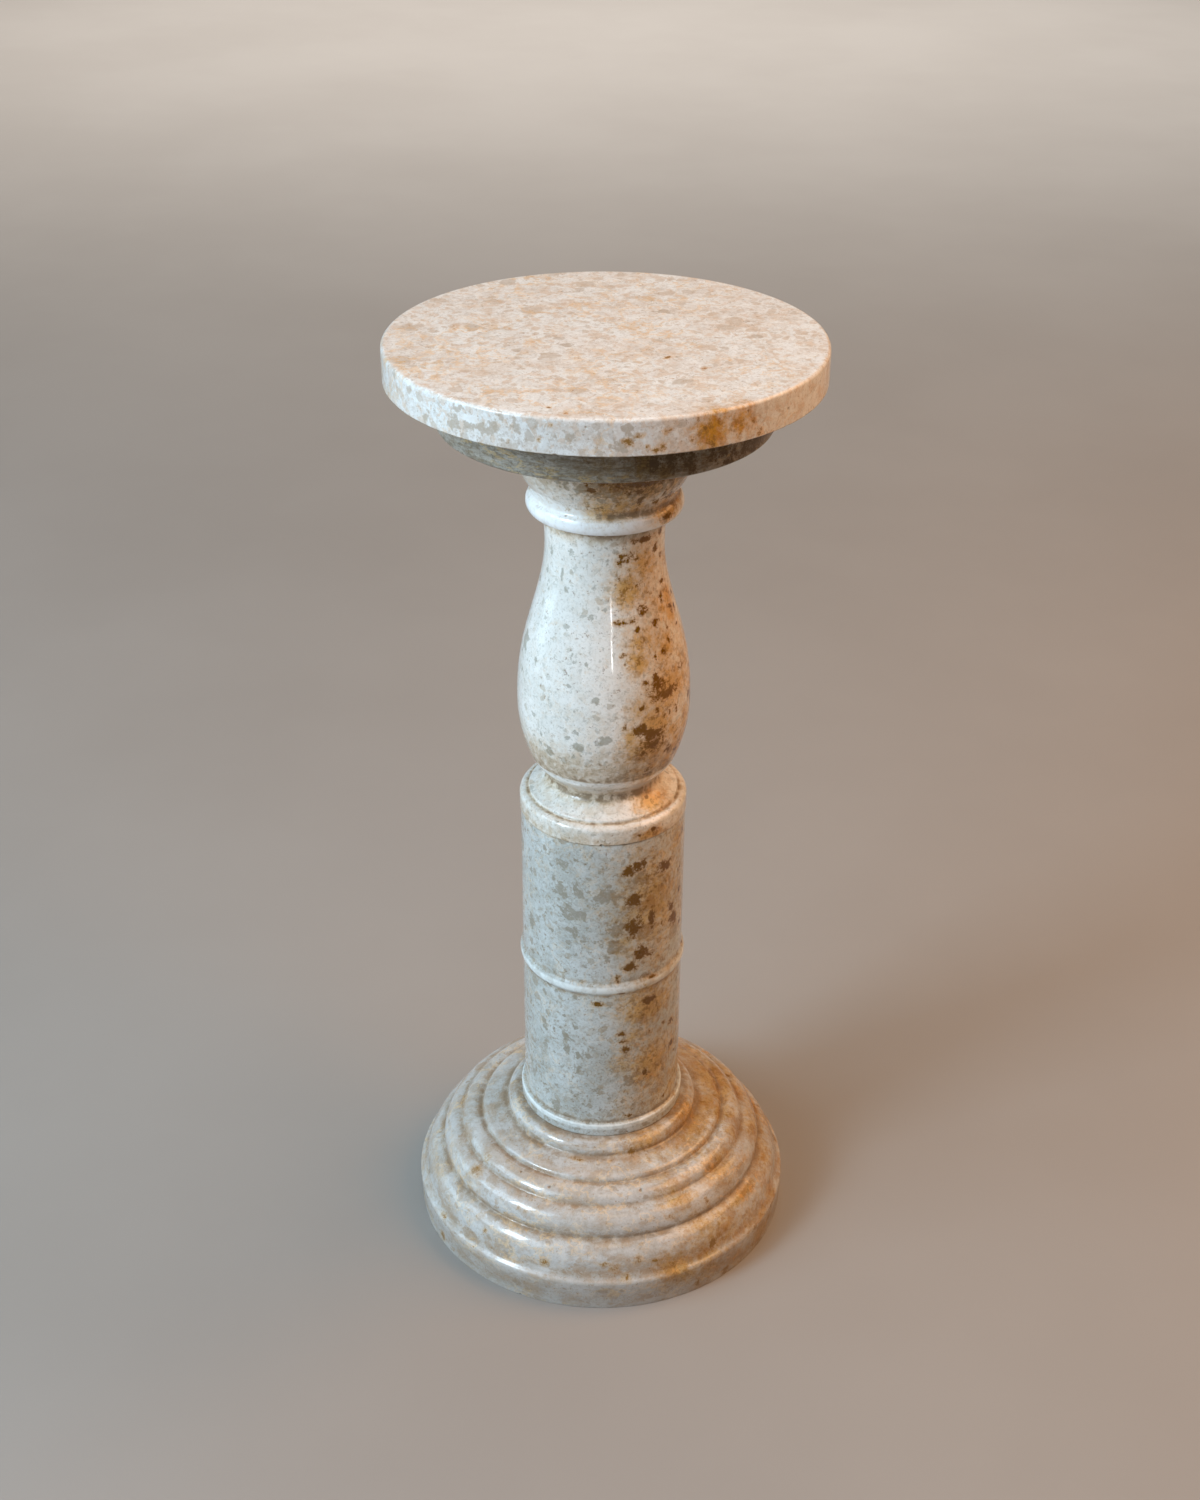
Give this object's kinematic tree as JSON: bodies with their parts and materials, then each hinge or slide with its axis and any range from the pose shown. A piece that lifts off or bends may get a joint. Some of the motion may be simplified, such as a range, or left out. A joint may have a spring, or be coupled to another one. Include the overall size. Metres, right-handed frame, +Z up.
{
  "type": "turned stone pedestal",
  "caption": "Round-topped turned stone pedestal: slab on a disc, pear-shaped baluster, plain drum and ringed domed base.",
  "frame": {"origin": "on the vertical axis, at the middle of the base's underside", "axes": "+Z up along the axis of turning; the picture looks along +Y, with +X to its right"},
  "size_m": [0.302, 0.302, 0.7368],
  "materials": {
    "slab_stone": "polished cream stone with tan flecks and an ochre stain at the edge",
    "collar_stone": "polished grey-beige stone, a little dull",
    "baluster_stone": "polished pale fossil stone with grey and brown clasts",
    "drum_stone": "polished pale fossil stone with brown clasts and small pits",
    "base_stone": "polished warm beige stone with pale streaks"
  },
  "bodies": {
    "root": {"top_slab": "slab_stone", "collar_disc": "collar_stone", "baluster": "baluster_stone", "drum": "drum_stone", "base": "base_stone"}
  },
  "joints": []
}
